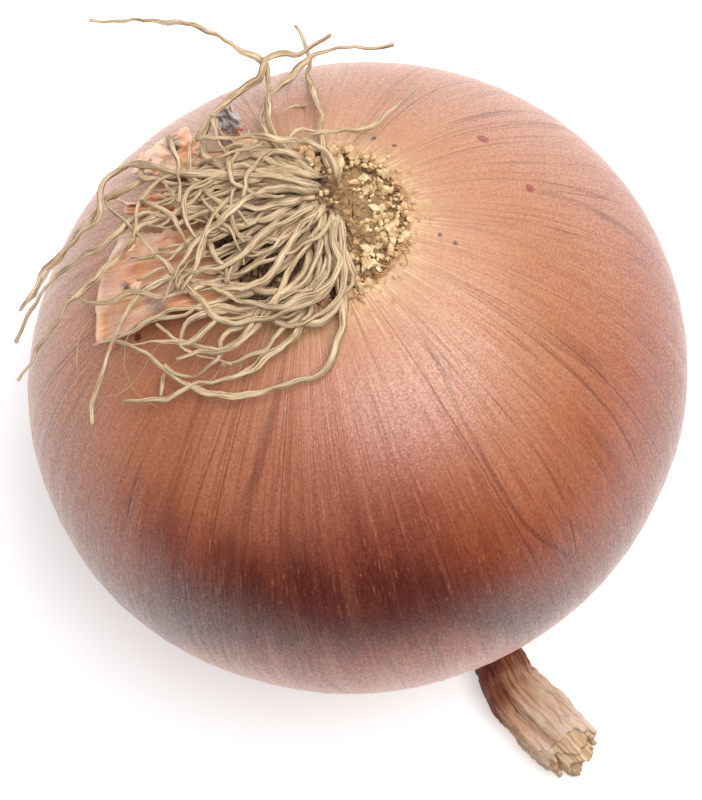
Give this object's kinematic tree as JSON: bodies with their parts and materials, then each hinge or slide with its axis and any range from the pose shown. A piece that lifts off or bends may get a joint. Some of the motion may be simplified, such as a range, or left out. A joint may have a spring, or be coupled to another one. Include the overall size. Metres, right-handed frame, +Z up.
{
  "type": "onion",
  "caption": "Brown onion lying on its side, with a dry curled root tuft, torn papery skins by the roots and a bent, wrinkled, ragged neck.",
  "frame": {"origin": "on the surface the onion rests on, straight under the bulb's middle, in the bulb's small flat spot", "axes": "+Z up; the root end leans back towards +Y, and the bent neck runs along the surface towards -Y"},
  "size_m": [0.0764, 0.1005, 0.069],
  "materials": {
    "bulb_skin": "dry papery copper skin, satin",
    "neck_sheath": "dried wrinkled leaf sheath, matt",
    "root": "dry straw-coloured root, matt",
    "torn_skin": "thin orange papery skin, satin"
  },
  "bodies": {
    "root": {"bulb": "bulb_skin", "neck": "neck_sheath", "root_tuft": "root", "torn_skin_lower": "torn_skin", "torn_skin_middle": "torn_skin", "torn_skin_upper": "torn_skin", "torn_skin_flake": "torn_skin"}
  },
  "joints": []
}
